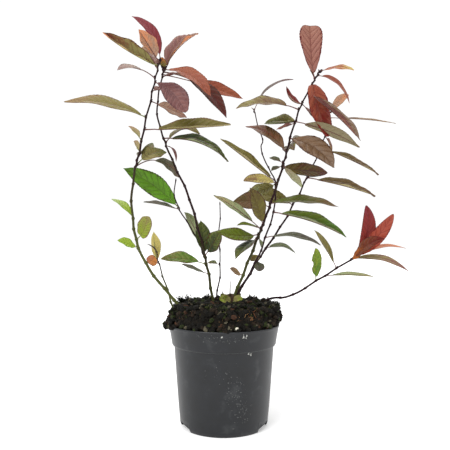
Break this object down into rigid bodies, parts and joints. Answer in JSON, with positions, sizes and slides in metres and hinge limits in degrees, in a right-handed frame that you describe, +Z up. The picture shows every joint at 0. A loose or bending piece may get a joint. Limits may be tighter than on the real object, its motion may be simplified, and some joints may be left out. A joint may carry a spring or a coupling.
{
  "type": "potted henrys garnet sweetspire",
  "caption": "Young sweetspire shrub in early autumn colour, with slim arching canes and long pointed leaves, in a round black plastic nursery pot filled above its rim.",
  "frame": {"origin": "centre of the pot's flat underside", "axes": "+Z up through the pot's middle, +X to the right in the front view, +Y away from the viewer"},
  "size_m": [0.5235, 0.2072, 0.6301],
  "materials": {
    "pot_plastic": "satin",
    "potting_soil": "matte",
    "old_wood": "matte",
    "cane_bark": "satin",
    "leaves": "satin"
  },
  "bodies": {
    "root": {"pot": "pot_plastic", "soil": "potting_soil", "root_crown": "old_wood", "cane_left": "cane_bark", "foliage_left_low": "leaves", "cane_left_upper": "cane_bark", "foliage_left_top": "leaves", "cane_sprout": "cane_bark", "foliage_sprout": "leaves", "cane_inner": "cane_bark", "foliage_inner_low": "leaves", "cane_inner_upper": "cane_bark", "foliage_inner_middle": "leaves", "cane_inner_top": "cane_bark", "foliage_inner_top": "leaves", "foliage_branch": "leaves", "cane_twig": "cane_bark", "foliage_twig": "leaves", "cane_right": "cane_bark", "foliage_right_low": "leaves", "cane_right_middle": "cane_bark", "foliage_right_middle": "leaves", "cane_right_upper": "cane_bark", "foliage_right_top": "leaves", "cane_slim": "cane_bark", "foliage_slim_low": "leaves", "cane_slim_upper": "cane_bark", "foliage_slim_top": "leaves", "cane_back": "cane_bark", "foliage_back_low": "leaves", "cane_back_middle": "cane_bark", "foliage_back_middle": "leaves", "cane_back_upper": "cane_bark", "foliage_back_top": "leaves", "cane_runner": "cane_bark", "foliage_runner": "leaves", "cane_runner_end": "cane_bark", "foliage_runner_tip": "leaves"}
  },
  "joints": []
}
